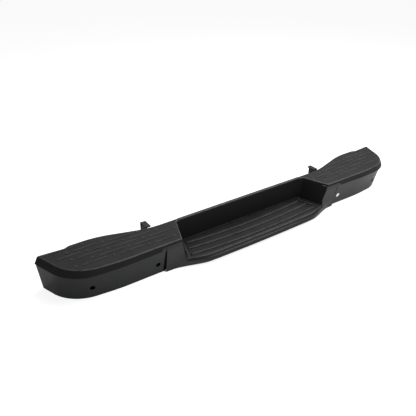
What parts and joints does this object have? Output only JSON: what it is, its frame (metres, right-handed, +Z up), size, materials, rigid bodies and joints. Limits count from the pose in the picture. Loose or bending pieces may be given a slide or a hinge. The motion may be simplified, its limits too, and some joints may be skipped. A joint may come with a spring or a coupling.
{
  "type": "rear step bumper",
  "caption": "Wide dark rear bumper for a van, with a lowered centre step, ribbed upper treads, rounded painted corners, sensor holes and frame brackets.",
  "frame": {"origin": "middle of the bumper's box, at the ground", "axes": "+X along the bumper, to the right as seen from behind the vehicle, +Y towards the vehicle, +Z up"},
  "size_m": [1.948, 0.259, 0.1576],
  "materials": {
    "face_paint": "satin",
    "tread_plastic": "grained",
    "step_plastic": "grained",
    "frame_coat": "matte",
    "zinc": "zinc plated"
  },
  "bodies": {
    "root": {"corner_shell_left": "face_paint", "corner_shell_right": "face_paint", "centre_face_bar": "face_paint", "step_pad_left": "tread_plastic", "step_pad_right": "tread_plastic", "centre_step_pad": "step_plastic", "impact_bar": "frame_coat", "frame_bracket_left": "frame_coat", "frame_bracket_right": "frame_coat", "corner_brace_left": "frame_coat", "corner_brace_right": "frame_coat", "splice_plate_left": "frame_coat", "splice_plate_right": "frame_coat", "frame_bolts": "zinc", "frame_nuts": "zinc", "brace_bolts": "zinc", "brace_nuts": "zinc", "bar_bolts": "zinc", "bar_nuts": "zinc", "push_nuts": "zinc"}
  },
  "joints": []
}
